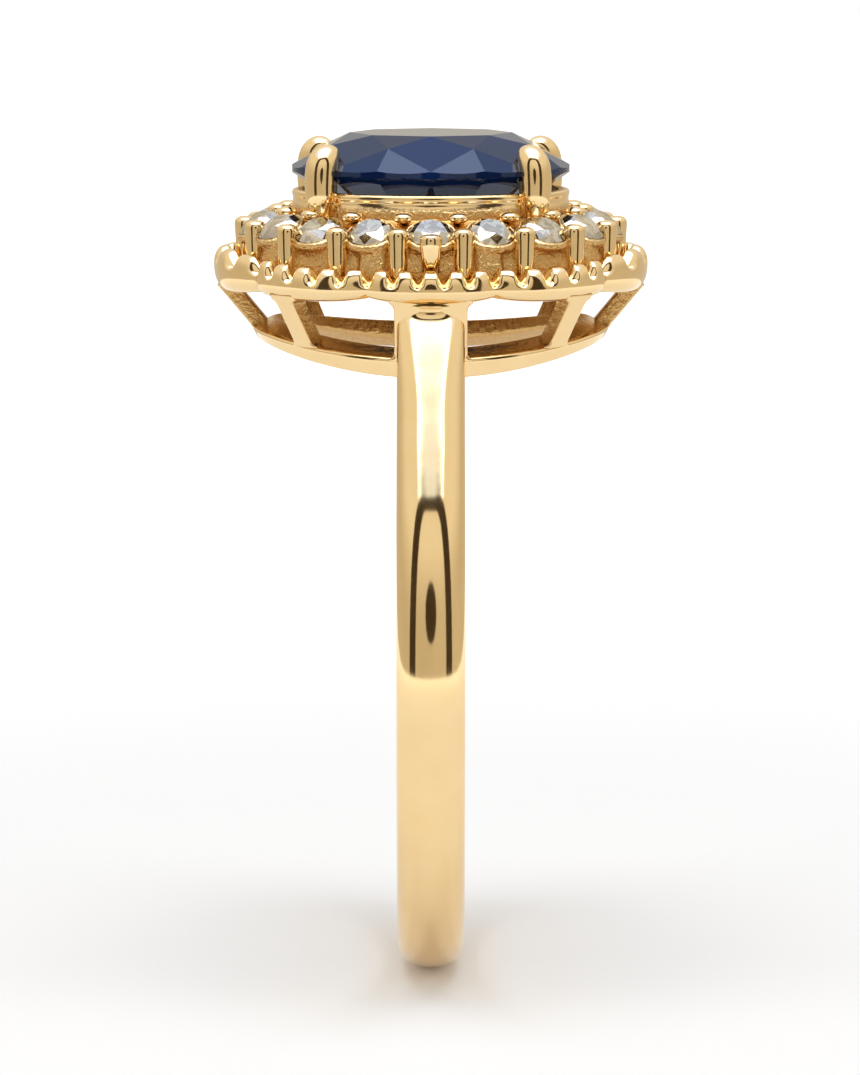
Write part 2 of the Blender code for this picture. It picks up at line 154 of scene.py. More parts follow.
# 0 below low, 1 above high, and an even s-curve between
def ease(value, low, high):
    x = np.clip((value - low) / (high - low), 0, 1)
    return x * x * (3 - 2 * x)


# a round bar along (offset, height) points in the upright plane that faces outward at `foot`;
# each ring is square to the path, with its own radius
def bar(foot, outward, path, radii, sides):
    path, radii = np.asarray(path, dtype=float), np.asarray(radii, dtype=float)
    along = np.gradient(path, axis=0)
    along /= np.linalg.norm(along, axis=1, keepdims=True)
    side = np.array([-outward[1], outward[0]])
    angle = np.arange(sides) * turn / sides
    out = np.cos(angle) * radii[:, None]
    wide = np.sin(angle) * radii[:, None]
    flat = (foot + outward * (path[:, :1] + along[:, 1:] * out)[..., None] + side * wide[..., None])
    height = path[:, 1:] - along[:, :1] * out
    return np.concatenate([flat, height[..., None]], axis=-1)


# points of a smooth curve through a few given ones (Catmull-Rom)
def smoothPath(points, count):
    points = np.asarray(points, dtype=float)
    padded = np.vstack([2 * points[0] - points[1], points, 2 * points[-1] - points[-2]])
    place = np.linspace(0, len(points) - 1, count)
    k = np.minimum(place.astype(int), len(points) - 2)
    u = (place - k)[:, None]
    p0, p1, p2, p3 = padded[k], padded[k + 1], padded[k + 2], padded[k + 3]
    return 0.5 * (2 * p1 + (p2 - p0) * u + (2 * p0 - 5 * p1 + 4 * p2 - p3) * u ** 2
                  + (3 * p1 - p0 - 3 * p2 + p3) * u ** 3)


# ---------- finishes ----------

# wraps a shader socket, so that +, - and * on values add Math nodes
class Value:
    def __init__(self, tree, socket):
        self.tree, self.socket = tree, socket

    def maths(self, operation, first, second):
        return make(self.tree, "ShaderNodeMath", {"operation": operation}, {0: first, 1: second})

    def __add__(self, other):
        return self.maths("ADD", self, other)

    def __radd__(self, other):
        return self.maths("ADD", other, self)

    def __sub__(self, other):
        return self.maths("SUBTRACT", self, other)

    def __mul__(self, other):
        return self.maths("MULTIPLY", self, other)


# adds one node: its settings first, then the values or links of its sockets
def make(tree, kind, settings=None, inputs=None, output=0):
    node = tree.nodes.new(kind)
    for key, value in (settings or {}).items():
        if key == "stops":
            while len(node.color_ramp.elements) < len(value):
                node.color_ramp.elements.new(0.5)
            for element, (place, colour) in zip(node.color_ramp.elements, value):
                element.position = place
                element.color = (*colour, 1.0)
        else:
            setattr(node, key, value)
    for key, value in (inputs or {}).items():
        if isinstance(value, Value):
            tree.links.new(value.socket, node.inputs[key])
        else:
            node.inputs[key].default_value = value
    return Value(tree, node.outputs[output])


# an empty material, its node tree and the object's own coordinates
def newFinish(name):
    finish = bpy.data.materials.new(name)
    finish.use_nodes = True
    tree = finish.node_tree
    tree.nodes.clear()
    place = make(tree, "ShaderNodeTexCoord", output=3)
    return finish, tree, place


# one Principled shader with these inputs, joined to the output
def closeFinish(tree, inputs):
    shader = make(tree, "ShaderNodeBsdfPrincipled", None, inputs)
    output = tree.nodes.new("ShaderNodeOutputMaterial")
    tree.links.new(shader.socket, output.inputs["Surface"])


goldLooks = {
    "tint": (0.93, 0.70, 0.38),
    "deepTint": (0.89, 0.64, 0.32),
    # painted shade: darker brown for sides that face the ring's middle and for low parts
    "paintedShadeTint": (0.60, 0.35, 0.11),
    "waveSize": 0.9,      # mm, slow wander of the polish
    "lumpSize": 0.16,     # mm, casting grain that polishing doesn't reach
    "grainSize": 0.035,   # mm, fine casting grain and polishing lines
    "hairlineSize": 0.25, # mm, spacing of the hairlines before they are stretched
    "headShape": (1, 1.25, 0),   # the head is longer than deep, so its sides face out like this
    "facing": (0.55, 0.15),      # how squarely a side faces out: polished above, as cast and painted in shade below
    "castAndShadeFade": 0.12,            # mm, over which the polish ends and the painted shade begins at the given height
    "castDull": 0.09,            # added roughness of an as-cast side
}


# yellow gold: colour wanders a little, hairlines and grain in roughness and bump; surfaces that
# don't face away from the ring's middle get `cast` of a coarser grain straight from the mould and of
# painted shade, a darker brown colour, and so does everything below the height given last
def goldFinish(name, roughness, grain, wave, hairlines, cast, castAndShadeTo=0.0):
    finish, tree, place = newFinish(name)
    slow = make(tree, "ShaderNodeTexNoise", None,
                {"Vector": place, "Scale": 1 / (goldLooks["waveSize"] * mm), "Detail": 2.0})
    fine = make(tree, "ShaderNodeTexNoise", None,
                {"Vector": place, "Scale": 1 / (goldLooks["grainSize"] * mm), "Detail": 4.0})
    stretched = make(tree, "ShaderNodeMapping", None,
                     {"Vector": place, "Scale": (9.0, 1.0, 1.2), "Rotation": (0.3, 0.1, 0.2)})
    lines = make(tree, "ShaderNodeTexNoise", None,
                 {"Vector": stretched, "Scale": 1 / (goldLooks["hairlineSize"] * mm), "Detail": 5.0, "Roughness": 0.7})
    lumps = make(tree, "ShaderNodeTexNoise", None,
                 {"Vector": place, "Scale": 1 / (goldLooks["lumpSize"] * mm), "Detail": 3.0,
                  "Roughness": 0.65})
    facing = make(tree, "ShaderNodeTexCoord", output=1)
    flat = make(tree, "ShaderNodeVectorMath", {"operation": "MULTIPLY"}, {0: place, 1: goldLooks["headShape"]})
    away = make(tree, "ShaderNodeVectorMath", {"operation": "NORMALIZE"}, {0: flat})
    outward = make(tree, "ShaderNodeVectorMath", {"operation": "DOT_PRODUCT"}, {0: facing, 1: away}, 1)
    polished, castAndShadeFacing = goldLooks["facing"]
    inward = make(tree, "ShaderNodeMapRange", {"interpolation_type": "SMOOTHSTEP"},
                  {0: outward, 1: polished, 2: castAndShadeFacing, 3: 0.0, 4: cast})
    height = make(tree, "ShaderNodeSeparateXYZ", None, {0: place}, 2)
    fade = goldLooks["castAndShadeFade"]
    low = make(tree, "ShaderNodeMapRange", {"interpolation_type": "SMOOTHSTEP"},
               {0: height, 1: (castAndShadeTo + fade) * mm, 2: (castAndShadeTo - fade) * mm, 3: 0.0, 4: 1.0})
    # share of as-cast grain and of painted shade: facing inward, or lying below the given height
    castAndShade = make(tree, "ShaderNodeMath", {"operation": "MAXIMUM"}, {0: inward, 1: low})
    colour = make(tree, "ShaderNodeMix", {"data_type": "RGBA"},
                  {0: slow, 6: (*goldLooks["deepTint"], 1), 7: (*goldLooks["tint"], 1)}, 2)
    # painted shade: those surfaces are mixed towards the darker brown
    shaded = make(tree, "ShaderNodeMix", {"data_type": "RGBA"},
                  {0: castAndShade * 0.8, 6: colour, 7: (*goldLooks["paintedShadeTint"], 1)}, 2)
    polish = (roughness + (slow - 0.5) * (roughness * 0.6) + (fine - 0.5) * grain
              + (lines - 0.5) * hairlines + castAndShade * goldLooks["castDull"])
    relief = slow * wave + fine * (grain * 0.10) + lines * (hairlines * 0.05) + lumps * castAndShade * 1.3
    bump = make(tree, "ShaderNodeBump", None, {"Strength": 0.6, "Distance": 0.1 * mm, "Height": relief})
    closeFinish(tree, {"Base Color": shaded, "Metallic": 1.0, "Roughness": polish, "Normal": bump})
    return finish


stoneLooks = {
    "paintedFlashSize": 0.20,      # mm, one painted flash of the small stones, a painted dark reflection
    # painted reflection: the dark colour that random cells of the small stones are painted towards
    "shadow": (0.28, 0.26, 0.21),
}


# clear or coloured stone: refracts, with faint growth zones in its colour; `sparkle` is the share
# of mirror-like return from its lower facets and also how dark the painted reflection gets, random
# cells of light and dark painted into its colour, and `clear` the share that light goes through
def stoneFinish(name, tint, zoneTint, index, zoneSize, clear, sparkle, sheen, cast):
    finish, tree, place = newFinish(name)
    zones = make(tree, "ShaderNodeTexNoise", None,
                 {"Vector": place, "Scale": 1 / (zoneSize * mm), "Detail": 3.0, "Distortion": 0.4})
    colour = make(tree, "ShaderNodeMix", {"data_type": "RGBA"},
                  {0: zones, 6: (*tint, 1), 7: (*zoneTint, 1)}, 2)
    paintedFlashCells = make(tree, "ShaderNodeTexVoronoi", None,
                   {"Vector": place, "Scale": 1 / (stoneLooks["paintedFlashSize"] * mm)}, 1)
    split = make(tree, "ShaderNodeSeparateXYZ", None, {0: paintedFlashCells}, 0)
    dark = make(tree, "ShaderNodeMapRange", None, {0: split, 1: 0.35, 2: 0.70, 3: sparkle, 4: 0.0})
    # painted reflection: the stone's colour is mixed towards that dark colour in those cells
    paintedFlashColour = make(tree, "ShaderNodeMix", {"data_type": "RGBA"},
                  {0: dark, 6: colour, 7: (*stoneLooks["shadow"], 1)}, 2)
    closeFinish(tree, {"Base Color": paintedFlashColour, "Roughness": zones * 0.02, "IOR": index,
                       "Transmission Weight": clear, "Metallic": sparkle, "Specular IOR Level": sheen,
                       "Specular Tint": (*cast, 1)})
    return finish


finishes = {
    "shank": goldFinish("shankGold", 0.08, 0.02, 0.03, 0.04, 0.0),
    "gallery": goldFinish("galleryGold", 0.13, 0.08, 0.08, 0.05, 1.0),
    "border": goldFinish("borderGold", 0.10, 0.03, 0.06, 0.03, 0.0),
    "setting": goldFinish("settingGold", 0.16, 0.10, 0.10, 0.04, 0.8, 22.72),
    "collar": goldFinish("collarGold", 0.12, 0.06, 0.10, 0.04, 0.8, 23.66),
    "claw": goldFinish("clawGold", 0.08, 0.03, 0.05, 0.03, 0.0),
    "sapphire": stoneFinish("sapphireBlue", (0.003, 0.011, 0.046), (0.004, 0.020, 0.090),
                            1.77, 1.4, 0.45, 0.0, 0.12, (0.66, 0.80, 1.0)),
    "diamond": stoneFinish("diamondClear", (0.97, 0.90, 0.76), (0.88, 0.81, 0.68),
                           2.42, 0.6, 1.0, 0.55, 0.5, (1.0, 0.92, 0.74)),
}


# gives a finished piece its material, puts it on the root body and hides the solids it stands for; `slot` is not used
def settle(piece, finish, slot, *nodes):
    piece.data.materials.append(finishes[finish])
    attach(piece, "root")
    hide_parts(*nodes)


# ---------- the band ----------

shankLow, shankHigh = boxOf("shank")
band = {
    "thickness": 1.55,
    "crown": 0.74,          # depth of the rounded outside
    "topFlatter": 0.06,     # share of that depth lost at the top of the shoulders
    "outsideCurve": 2.1,    # 2 is an ellipse, higher is flatter with tighter edges
    "boreCurve": 4.5,
    "tipY": 5.2,            # where the shoulder meets the border
    "heelY": 4.5,           # where its inner side meets the rail
    "topY": 4.7,            # inner side under the border
    "coveHeight": 0.44,     # concave run-out under the border
    "coveReach": 0.42,
    "coveNarrow": 0.12,     # share of the width lost at its rounded corners
    "arcShare": 0.66,       # of the stations, those on the round part
    "heelEase": (-0.1, 0.9),   # shares of the rise over which the inner side leaves the round
    "topEase": (0.25, 1.0),    # and over which it comes upright
    "stations": 520,
    "around": 96,
}


# court section between an inner and an outer line: an arc, then a straight shoulder that leaves
# it as a tangent and rises to the head; its last part curves out as 1 - sqrt(1 - u^2)
def makeShank():
    outerRadius = (shankHigh[1] - shankLow[1]) / 2
    innerRadius = outerRadius - band["thickness"]
    centre = np.array([0.0, outerRadius])
    tip = np.array([band["tipY"], shankHigh[2]])
    reach = tip - centre
    tangent = np.arctan2(reach[1], reach[0]) - np.arccos(outerRadius / np.linalg.norm(reach))
    half = band["stations"] // 2
    share = np.linspace(0, 1, half)
    arcShare = band["arcShare"]
    angle = -np.pi / 2 + (tangent + np.pi / 2) * np.minimum(share / arcShare, 1)
    rise = np.clip((share - arcShare) / (1 - arcShare), 0, 1)[:, None]
    climb, lift = ease(rise, *band["heelEase"]), ease(rise, *band["topEase"])
    heel = np.arccos(band["heelY"] / innerRadius)
    innerAngle = angle + (heel - tangent) * climb[:, 0]
    onArc = centre + outerRadius * np.stack([np.cos(angle), np.sin(angle)], axis=1)
    outer = onArc + (tip - onArc) * rise
    inner = centre + innerRadius * np.stack([np.cos(innerAngle), np.sin(innerAngle)], axis=1)
    inner = inner + (np.array([band["topY"], tip[1]]) - inner) * lift
    cove = np.clip(1 - (tip[1] - outer[:, 1]) / band["coveHeight"], 0, 1)
    outer[:, 0] += band["coveReach"] * (1 - np.sqrt(1 - 0.98 * cove ** 2))
    narrow = 1 - band["coveNarrow"] * np.concatenate([cove[::-1], cove[1:]]) ** 2
    mirror = np.array([-1, 1])
    outer = np.vstack([(outer * mirror)[::-1], outer[1:]])
    inner = np.vstack([(inner * mirror)[::-1], inner[1:]])
    thick = np.linalg.norm(outer - inner, axis=1)[:, None]
    flatter = 1 - band["topFlatter"] * ease(rise[:, :1], 0.1, 1.0)
    crown = band["crown"] * np.vstack([flatter[::-1], flatter[1:]])
    around = np.arange(band["around"]) * turn / band["around"]
    c, s = squircle(around, band["outsideCurve"])
    cBore, sBore = squircle(around, band["boreCurve"])
    outside = np.sin(around) > 0
    across = np.where(outside, c, cBore) * (shankHigh[0] - shankLow[0]) / 2
    depth = np.where(outside, crown * (1 - s), crown - (thick - crown) * sBore)
    points = np.zeros((len(outer), len(across), 3))
    points[..., 0] = across * narrow[:, None]
    points[..., 1:] = outer[:, None] + (inner - outer)[:, None] * (depth / thick)[..., None]
    points[..., 2] = np.maximum(points[..., 2], 0)
    settle(gridSurface("band", points, False), "shank", "shank_gold", "shank")
    print("band done")


makeShank()

# ---------- the gallery ----------

borderLow, _ = boxOf("scalloped_border")
_, railHigh = boxOf("lower_rail")
haloOval = (5.3, 4.4)
rail = {
    "axes": (railHigh[0] - 0.42, railHigh[1] - 0.42),
    "outside": 0.30, "thickness": 0.74,
    "climb": 0.34,          # how much higher its inner edge is than its outer edge
    "lean": 0.20,           # how much further out its top is than its underside
    "squareness": 5.5,
    "endTop": 19.87, "endFoot": 19.50,
    "archTop": 0.57, "archFoot": 0.84,   # how far top and underside drop at the front and back
    "stations": 360,
    "around": 48,
}


# top and underside of the rail beside a point: both dip by sin squared towards the front and back
def railLevels(x, y):
    drop = np.sin(np.arctan2(y / rail["axes"][1], x / rail["axes"][0])) ** 2
    return rail["endTop"] - rail["archTop"] * drop, rail["endFoot"] - rail["archFoot"] * drop


# slanted bar round the oval: its top, the sill of the windows, climbs inward
def makeRail():
    angles = np.arange(rail["stations"]) * turn / rail["stations"]
    top, foot = railLevels(rail["axes"][0] * np.cos(angles), rail["axes"][1] * np.sin(angles))
    c, s = squircle(np.arange(rail["around"]) * turn / rail["around"], rail["squareness"])
    up, out = (s + 1) / 2, (c + 1) / 2
    offsets = rail["outside"] + rail["lean"] * (up - 0.5) - rail["thickness"] * (1 - out)
    climb = rail["climb"] * (1 - out) * (1.25 - 0.25 * up)
    heights = foot[:, None] + (top - foot)[:, None] * up + climb
    piece = ovalSweep("galleryRail", rail["axes"], angles, np.tile(offsets, (len(angles), 1)), heights)
    settle(piece, "gallery", "gallery_gold", "lower_rail")
    print("gallery rail done")


# where the border's grooves lie: distance along its length, and its half length there
grooveSpots = {"end": (5.35, 6.35), "middle": (1.97, 6.4)}


# parameter angles of the grooves between the eight lobes, the arc cosine of those two's ratio
def lobeJoints():
    side, front = (np.arccos(along / half) for along, half in grooveSpots.values())
    return np.array([-side, side, front, np.pi - front, np.pi - side,
                     np.pi + side, np.pi + front, turn - front])


strut = {
    "names": ["strut_right", "strut_back_right", "strut_back", "strut_back_left",
              "strut_left", "strut_front_left", "strut_front", "strut_front_right"],
    "width": 0.70, "shoulderWidth": 2.2, "thickness": 0.66,
    "flare": 0.16,          # extra width where it runs into the rail and the border
    "reach": (-0.03, 1.10), # from just inside the rail to inside the border, as shares of its height
    "headOut": 0.92, "shoulderHeadOut": 0.80, "footOut": 0.16,
    "face": 0.23,           # how far its outer face stands from the line between those
    "squareness": 7,
    "stations": 48, "around": 48,
}


# squared bar from the rail up to the border, widening at its ends as the twelfth power
def makeStruts():
    share = np.linspace(*strut["reach"], strut["stations"])
    c, s = squircle(np.arange(strut["around"]) * turn / strut["around"], strut["squareness"])
    for name, t in zip(strut["names"], np.arange(8) * turn / 8):
        shoulder = name in ("strut_front", "strut_back")
        width = strut["shoulderWidth"] if shoulder else strut["width"]
        head = ovalPoint(haloOval, t, strut["shoulderHeadOut" if shoulder else "headOut"])
        foot = ovalPoint(rail["axes"], t, strut["footOut"])
        low = np.append(foot, railLevels(*foot)[0])
        high = np.append(head, borderLow[2])
        along = np.array([-np.sin(t), np.cos(t), 0])
        outward = np.array([np.cos(t), np.sin(t), 0])
        flare = strut["flare"] * np.minimum(np.abs(share * 2 - 1), 1) ** 12
        middle = low + (high - low) * share[:, None]
        wide = (width / 2 + flare)[:, None] * c
        deep = strut["face"] - strut["thickness"] * (1 - s) / 2
        points = middle[:, None] + along * wide[..., None] + outward * deep[None, :, None]
        piece = gridSurface(name.replace("strut", "galleryBar"), points, False)
        settle(piece, "gallery", "gallery_gold", name)
    print("gallery bars done")


makeRail()
makeStruts()

# ---------- the scalloped border ----------

border = {
    "inner": 0.47, "groove": 1.05, "bulge": 0.30,
    "valley": 21.66, "top": 22.02, "foot": borderLow[2],
    "endRise": 0.34,        # the two end lobes stand higher
    "footLift": 0.15,       # how far the lower edge climbs beside a groove
    "waist": 21.46,         # below this the outside is a smooth strip
    "valleyDepth": 0.17,    # how far the gaps between bumps are sunk into the outside
    "gap": 0.62, "gapCurve": 0.65,   # share of a half bump that slopes to the gap, and its power
    "droop": 0.22,          # how far a bump falls from its middle to its sides
    "shelf": 0.10,          # how far its inner side lies below the gaps
    "roundness": 2.25,
    "bumps": 5, "stationsPerBump": 30, "around": 60,
}


# band round the oval; each lobe swells as 1 - |u|^2.5 between its grooves, and each bump is a
# broad ridge with a narrow rounded gap, an s-curve of the distance to the gap
def makeBorder():
    joints = lobeJoints()
    ends = np.append(joints[1:], joints[0] + turn)
    steps = border["bumps"] * border["stationsPerBump"]
    share = np.arange(steps) / steps
    angles = (joints[:, None] + (ends - joints)[:, None] * share).ravel()
    lobe = np.tile(share * 2 - 1, len(joints))
    bump = np.tile((share * border["bumps"] % 1) * 2 - 1, len(joints))
    slopes = ease(1 - np.abs(bump), 0.0, border["gap"]) ** border["gapCurve"]
    ridge = slopes * (1 - border["droop"] * bump ** 2)
    reach = border["groove"] + border["bulge"] * (1 - np.abs(lobe) ** 2.5)
    rise = border["endRise"] * np.cos(angles) ** 4
    crest = border["valley"] + (border["top"] - border["valley"]) * ridge + rise
    foot = border["foot"] + border["footLift"] * np.abs(lobe) ** 3
    c, s = squircle(np.arange(border["around"]) * turn / border["around"], border["roundness"])
    upper = ease(s, 0.05, 0.45)
    outEdge = reach[:, None] - border["valleyDepth"] * (1 - ridge[:, None]) * upper
    offsets = (border["inner"] + outEdge) / 2 + (outEdge - border["inner"]) / 2 * c
    outerHalf = ease(c, -0.75, 0.0)
    shelf = border["valley"] - border["shelf"]
    roof = shelf + (crest[:, None] - shelf) * outerHalf
    waist = border["waist"] + rise[:, None]
    heights = np.where(s > 0, waist + (roof - waist) * s, waist + (waist - foot[:, None]) * s)
    piece = ovalSweep("scallopedBorder", haloOval, angles, offsets, heights)
    settle(piece, "border", "border_gold", "scalloped_border")
    print("scalloped border done")


makeBorder()

# ---------- stones ----------

stoneLow, stoneHigh = boxOf("centre_sapphire")
centreStone = {
    "axes": ((stoneHigh[0] - stoneLow[0]) / 2, (stoneHigh[1] - stoneLow[1]) / 2),
    "crown": 0.98, "girdle": 0.24, "table": 0.585,
}
centreStone["pavilion"] = stoneHigh[2] - stoneLow[2] - centreStone["crown"] - centreStone["girdle"]


lowerFacetReach = 0.30   # of the radius, where the lower halves meet the mains


# brilliant cut on a unit circle, then stretched to the stone's own axes, which keeps facets flat:
# kites lie in planes from table edge to girdle, and the girdle line is where the upper and
# lower facets' planes meet the round side
def brilliant(axes, crown, girdle, pavilion, table, arcSteps=6):
    star, low = 0.5 * (1 + table), lowerFacetReach
    step = turn / 16
    starZ = crown * (1 - star * np.cos(step)) / (1 - table)
    lowZ = -girdle - pavilion * (1 - low * np.cos(step))

    def ring(first, count, radius, z):
        t = first + np.arange(count) * turn / count
        return np.stack([radius * np.cos(t), radius * np.sin(t), np.full(count, z)], axis=1)

    tablePoints = ring(0, 8, table, crown)
    starPoints = ring(step, 8, star, starZ)
    lowPoints = ring(step, 8, low, lowZ)
    culet = np.array([[0, 0, -girdle - pavilion]])
    t = np.arange(16 * arcSteps) * turn / (16 * arcSteps)
    facet = np.arange(16 * arcSteps) // arcSteps
    chord = np.cos(step / 2)
    # distance beyond the chord, along the facet's middle direction
    beyond = np.cos(t - (facet + 0.5) * step) - chord
    starIn = chord - star * np.cos(step / 2)
    lowIn = chord - low * np.cos(step / 2)
    topZ = -beyond * starZ / starIn
    footZ = -girdle + beyond * (-girdle - lowZ) / lowIn
    edge = np.stack([np.cos(t), np.sin(t)], axis=1)
    rim = np.column_stack([edge, topZ])
    base = np.column_stack([edge, footZ])
    corners = np.vstack([tablePoints, starPoints, rim, base, lowPoints, culet])
    corners[:, 0] *= axes[0]
    corners[:, 1] *= axes[1]
    n = 16 * arcSteps
    rimAt, baseAt, lowAt = 16, 16 + n, 16 + 2 * n
    last = lowAt + 8
    faces = [list(range(8))]
    for k in range(8):
        before, after = (k - 1) % 8, (k + 1) % 8
        g = 2 * k * arcSteps
        first = [rimAt + (g + i) % n for i in range(arcSteps + 1)]
        second = [rimAt + (g + arcSteps + i) % n for i in range(arcSteps + 1)]
        faces += [[k, 8 + k, after], [k, 8 + before, first[0], 8 + k]]
        faces += [[8 + k] + first, [8 + k] + second]
        firstLow = [baseAt + (g + i) % n for i in range(arcSteps + 1)][::-1]
        secondLow = [baseAt + (g + arcSteps + i) % n for i in range(arcSteps + 1)][::-1]
        faces += [[lowAt + k] + firstLow, [lowAt + k] + secondLow]
        faces += [[baseAt + g, lowAt + before, last, lowAt + k]]
    for i in range(n):
        j = (i + 1) % n
        faces.append([rimAt + i, baseAt + i, baseAt + j, rimAt + j])
    return corners, faces


def makeCentreStone():
    corners, faces = brilliant(centreStone["axes"], centreStone["crown"], centreStone["girdle"],
                               centreStone["pavilion"], centreStone["table"])
    corners[:, 2] += stoneHigh[2] - centreStone["crown"]
    settle(solid("ovalSapphire", corners, faces, False), "sapphire", "sapphire", "centre_sapphire")
    print("centre stone done")


melee = {
    "count": 18, "radius": 0.70, "crown": 0.22, "girdle": 0.05, "pavilion": 0.60, "table": 0.57,
    "tilt": np.radians(28.0), "height": 23.08,
}


def meleeAngles():
    return np.arange(melee["count"]) * turn / melee["count"] + np.pi / 2


# axes of a small stone's own frame: outward and down the slope, along the oval, and up its axis
def meleeFrame(t):
    outward = ovalPoint(haloOval, t, 1.0) - ovalPoint(haloOval, t)
    lean, rise = np.cos(melee["tilt"]), np.sin(melee["tilt"])
    slope = np.array([outward[0] * lean, outward[1] * lean, -rise])
    side = np.array([-outward[1], outward[0], 0.0])
    axis = np.array([outward[0] * rise, outward[1] * rise, lean])
    return np.append(ovalPoint(haloOval, t), melee["height"]), np.stack([slope, side, axis])


def makeHaloStones():
    for k, t in enumerate(meleeAngles()):
        corners, faces = brilliant((melee["radius"],) * 2, melee["crown"], melee["girdle"],
                                   melee["pavilion"], melee["table"], 3)
        centre, axes = meleeFrame(t)
        piece = solid(f"haloBrilliant.{k + 1:02d}", corners @ axes + centre, faces, False)
        settle(piece, "diamond", "diamond", f"halo_diamond_{k + 1:02d}")
    print("halo stones done")


makeCentreStone()
makeHaloStones()

# ---------- the halo setting ----------

seat = {
    "radius": 0.725, "rimWidth": 0.05, "rimHeight": 0.045, "well": 0.62,
    "inner": -0.95, "between": 0.34,
    "lip": ((0.0, -0.05), (-0.02, -0.12), (-0.10, -0.20)),   # outer edge: outward, and from the top
    "wallTop": 22.38, "wallFoot": 21.35, "wall": 0.42, "wallInside": 0.10,
    "bracket": 0.20, "bracketWidth": 0.50, "bracketFade": 0.14,   # pads above the border's grooves
    "sink": 0.05,           # the plate's top lies this far below the girdles
    "dip": 0.16,            # hollow between two stones' rims
    "roof": (22.33, 22.83, 22.93),   # underside of the plate, from the wall inward
    "stationsPerStone": 44, "topPoints": 44,
}


# closed section round the oval: sloping top with a conical well and a raised rim at each stone,
# a scalloped outer edge that follows the stones, then the wall below with a pad over each groove
def makeSeatPlate():
    perStone = seat["stationsPerStone"]
    count = melee["count"] * perStone
    angles = (np.arange(count) - perStone / 2) * turn / count + np.pi / 2
    spacing = turn / melee["count"]
    nearest = np.round((angles - np.pi / 2) / spacing) * spacing + np.pi / 2
    centres = ovalPoint(haloOval, nearest)
    onRing = ovalPoint(haloOval, angles)
    apart = np.linalg.norm(onRing - centres, axis=1)
    cup = seat["radius"] + seat["rimWidth"]
    edge = np.sqrt(np.clip(cup ** 2 - apart ** 2, 0, None)) * np.cos(melee["tilt"])
    outer = np.maximum(edge, seat["between"])
    slope = np.tan(melee["tilt"])
    share = np.linspace(0, 1, seat["topPoints"])
    across = seat["inner"] + (outer[:, None] - seat["inner"]) * share
    flat = ovalPoint(haloOval, np.broadcast_to(angles[:, None], across.shape), across)
    base = melee["height"] - seat["sink"] - across * slope
    gap = flat - centres[:, None]
    downSlope = np.abs(across) / np.cos(melee["tilt"])
    alongSquared = np.clip((gap ** 2).sum(axis=2) - across ** 2, 0, None)
    distance = np.sqrt(alongSquared + downSlope ** 2)
    inside = np.clip(1 - distance / seat["radius"], 0, 1)
    rim = seat["rimHeight"] * np.exp(-((distance - seat["radius"]) / seat["rimWidth"]) ** 2)
    dip = seat["dip"] * ease(distance, seat["radius"] + 0.04, seat["radius"] + 0.22)
    top = base + rim - seat["well"] * inside ** 0.8 - dip * ease(np.abs(across), 0.0, 0.5)
    lastTop = top[:, -1:]
    lastOut = across[:, -1:]
    lip = np.array(seat["lip"])
    lipOut, lipUp = lastOut + lip[:, 0], lastTop + lip[:, 1]
    ones = np.ones((count, 1))
    wall, wallInside = seat["wall"], seat["wallInside"]
    wallOut = ones * np.array([wall - 0.10, wall - 0.04, wall, wall, wall - 0.04,
                               wallInside, wallInside, wallInside, seat["inner"] + 0.1, seat["inner"]])
    wallUp = ones * np.array([seat["wallTop"], seat["wallTop"] - 0.2, seat["wallTop"] - 0.4,
                              seat["wallFoot"] + 0.05, seat["wallFoot"], seat["wallFoot"],
                              seat["wallFoot"] + 0.5, *seat["roof"]])
    grooves = ovalPoint(haloOval, lobeJoints(), seat["wall"])
    toGroove = np.linalg.norm(onRing[:, None] - grooves, axis=2).min(axis=1)
    pad = seat["bracket"] * (1 - ease(toGroove, seat["bracketWidth"], seat["bracketWidth"] + seat["bracketFade"]))
    wallOut[:, :4] += pad[:, None]
    offsets = np.hstack([across, lipOut, wallOut])
    heights = np.hstack([top, lipUp, wallUp])
    piece = ovalSweep("seatPlate", haloOval, angles, offsets, heights)
    settle(piece, "setting", "setting_gold", "halo_setting")
    print("seat plate done")


prong = {
    "path": [(0.36, 21.70), (0.37, 22.15), (0.38, 22.60), (0.38, 22.90), (0.38, 23.06), (0.38, 23.16),
             (0.38, 23.22), (0.38, 23.24)],
    "endPath": [(0.38, 22.0), (0.66, 22.35), (0.74, 22.6), (0.76, 22.80), (0.76, 22.96), (0.76, 23.05),
                (0.76, 23.09), (0.76, 23.10)],
    "radii": [0.29, 0.30, 0.31, 0.33, 0.33, 0.28, 0.17, 0.01],
    "rings": 26, "sides": 20,
    "beadOut": -0.64, "beadHeight": 23.46, "beadRadius": (0.33, 0.17),   # half width, half height
    "beadRings": 11, "beadSides": 18,
}


